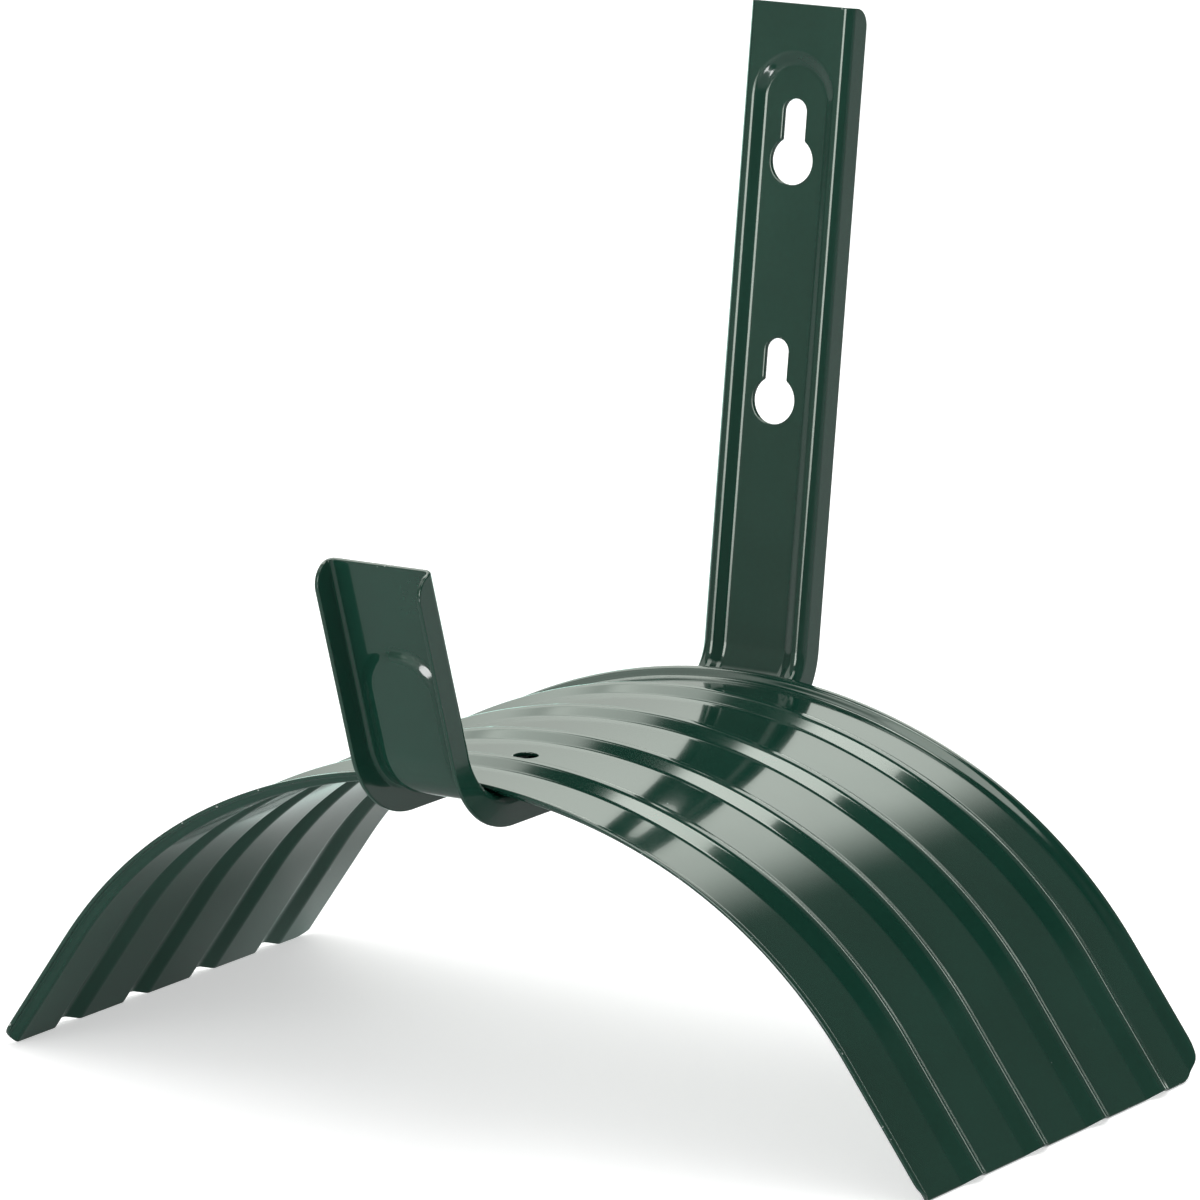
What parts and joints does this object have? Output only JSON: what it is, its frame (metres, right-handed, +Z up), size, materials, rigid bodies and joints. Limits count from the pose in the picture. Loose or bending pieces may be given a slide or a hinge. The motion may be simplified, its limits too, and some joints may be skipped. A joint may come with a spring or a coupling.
{
  "type": "wall hose hanger",
  "caption": "Wall-hung garden hose hanger: a ribbed arched steel saddle on one bent channel strip with keyholes above and a hook in front.",
  "frame": {"origin": "centre of the upper keyhole's round hole, on the bead floor that the screw head bears on", "axes": "+Z up along the wall plate, +Y into the wall, +X to the right as seen from the room"},
  "size_m": [0.2852, 0.1906, 0.2865],
  "materials": {
    "green_enamel": "gloss dark green enamel on pressed steel sheet",
    "weld_enamel": "the same gloss green enamel over rippled tack welds"
  },
  "bodies": {
    "root": {"saddle": "green_enamel", "bracket": "green_enamel", "tack_welds": "weld_enamel"}
  },
  "joints": []
}
